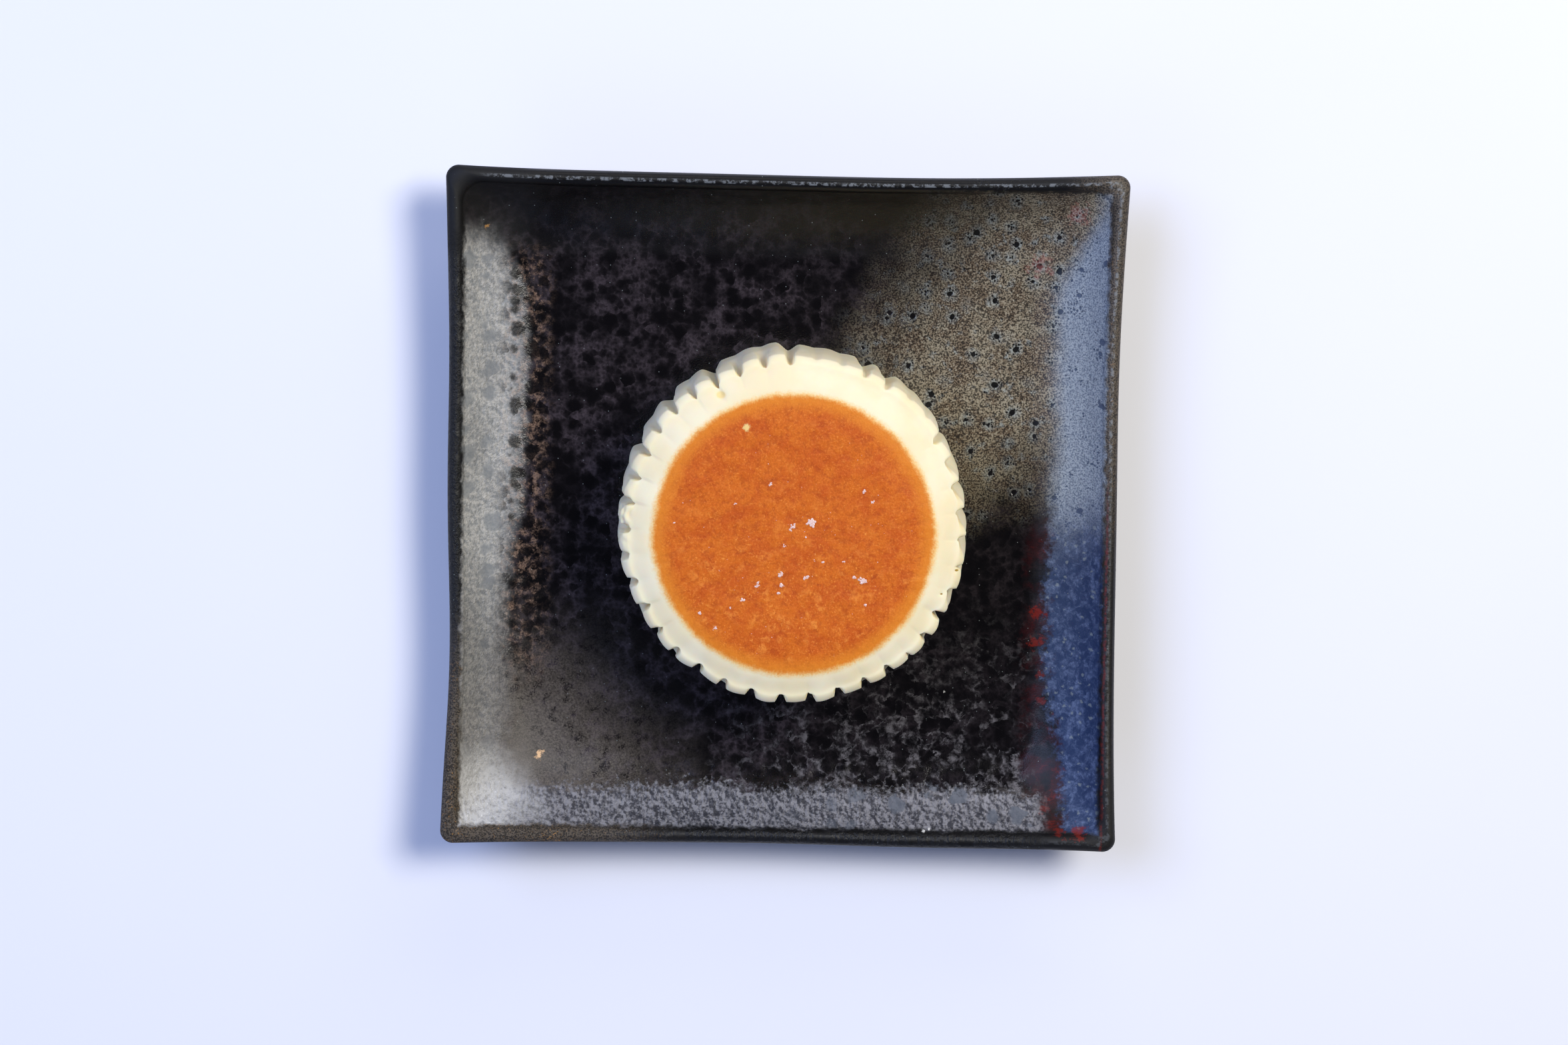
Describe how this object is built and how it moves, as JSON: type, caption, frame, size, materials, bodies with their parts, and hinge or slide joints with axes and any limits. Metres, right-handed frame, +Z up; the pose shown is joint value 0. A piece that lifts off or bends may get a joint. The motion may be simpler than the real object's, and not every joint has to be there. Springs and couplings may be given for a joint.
{
  "type": "cheesecake on square plate",
  "caption": "Small round baked cheesecake with a pleated side and a browned top, standing on a square black-glazed stoneware plate with turned-up edges.",
  "frame": {"origin": "on the table, under the middle of the plate", "axes": "+Z up, +X towards the plate's right side and +Y towards its far side, which is the top of the picture"},
  "size_m": [0.14, 0.14, 0.0413],
  "materials": {
    "glaze": "glossy black reactive glaze on stoneware, with olive, blue and rust clouds, fine specks and oil spots",
    "curd": "baked cream cheese: pale matt sides and shoulder, and a caramel-brown skin over the top"
  },
  "bodies": {
    "root": {"plate": "glaze", "cheesecake": "curd"}
  },
  "joints": []
}
